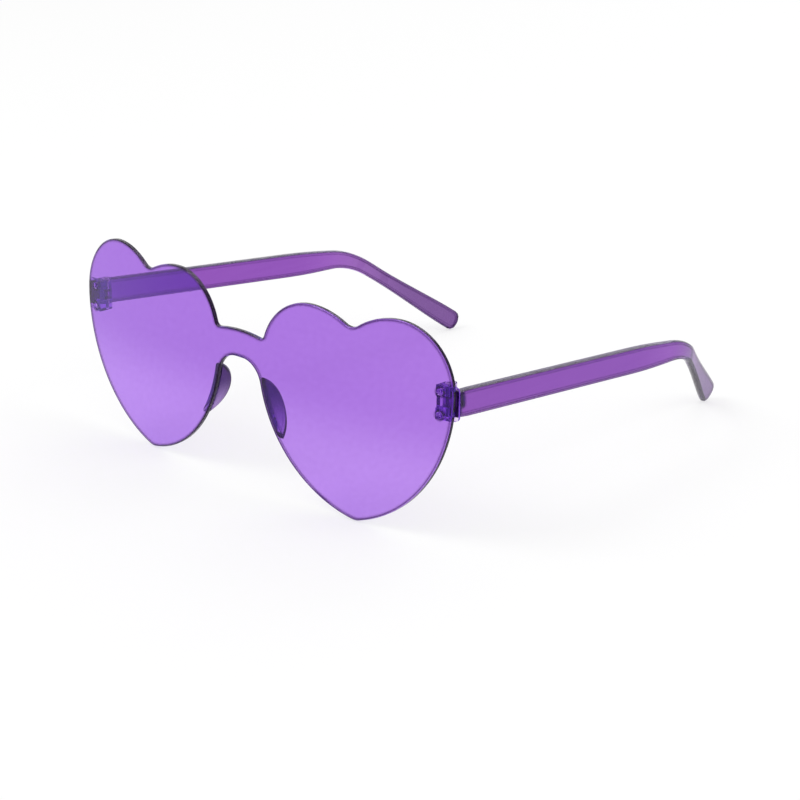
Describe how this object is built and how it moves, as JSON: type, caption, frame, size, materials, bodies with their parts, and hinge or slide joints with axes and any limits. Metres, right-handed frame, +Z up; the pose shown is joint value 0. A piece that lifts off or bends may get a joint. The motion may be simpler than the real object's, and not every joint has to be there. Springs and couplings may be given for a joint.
{
  "type": "heart shaped sunglasses",
  "caption": "Rimless sunglasses with a one-piece curved shield of joined hearts in clear purple plastic, moulded nose pads and folding temples with hooked ends.",
  "frame": {"origin": "on the table under the open glasses, at the middle of their box", "axes": "-Y is the way the wearer looks, +Y runs back along the temples, +X is the wearer's left, +Z is up"},
  "size_m": [0.1466, 0.1432, 0.0579],
  "materials": {
    "shield_tint": "polished clear purple polycarbonate, a little lighter towards the heart tips",
    "pad_tint": "polished clear purple plastic",
    "block_tint": "polished clear purple plastic",
    "arm_tint": "polished clear purple plastic",
    "screw_steel": "bright turned steel with a slotted head"
  },
  "bodies": {
    "front": {"lens_shield": "shield_tint", "nose_pad_left": "pad_tint", "nose_pad_right": "pad_tint", "hinge_block_left": "block_tint", "hinge_block_right": "block_tint", "hinge_screw_left": "screw_steel", "hinge_screw_right": "screw_steel"},
    "arm_left": {"temple_left": "arm_tint"},
    "arm_right": {"temple_right": "arm_tint"}
  },
  "joints": [
    {"name": "hinge_left", "type": "hinge", "parent": "front", "child": "arm_left", "pos_m": [0.0684, -0.06073, 0.03839], "axis": [0, 0.019, 0.9998], "range_deg": [0, 84]},
    {"name": "hinge_right", "type": "hinge", "parent": "front", "child": "arm_right", "pos_m": [-0.0684, -0.06073, 0.03839], "axis": [0, -0.019, -0.9998], "range_deg": [0, 72]}
  ]
}
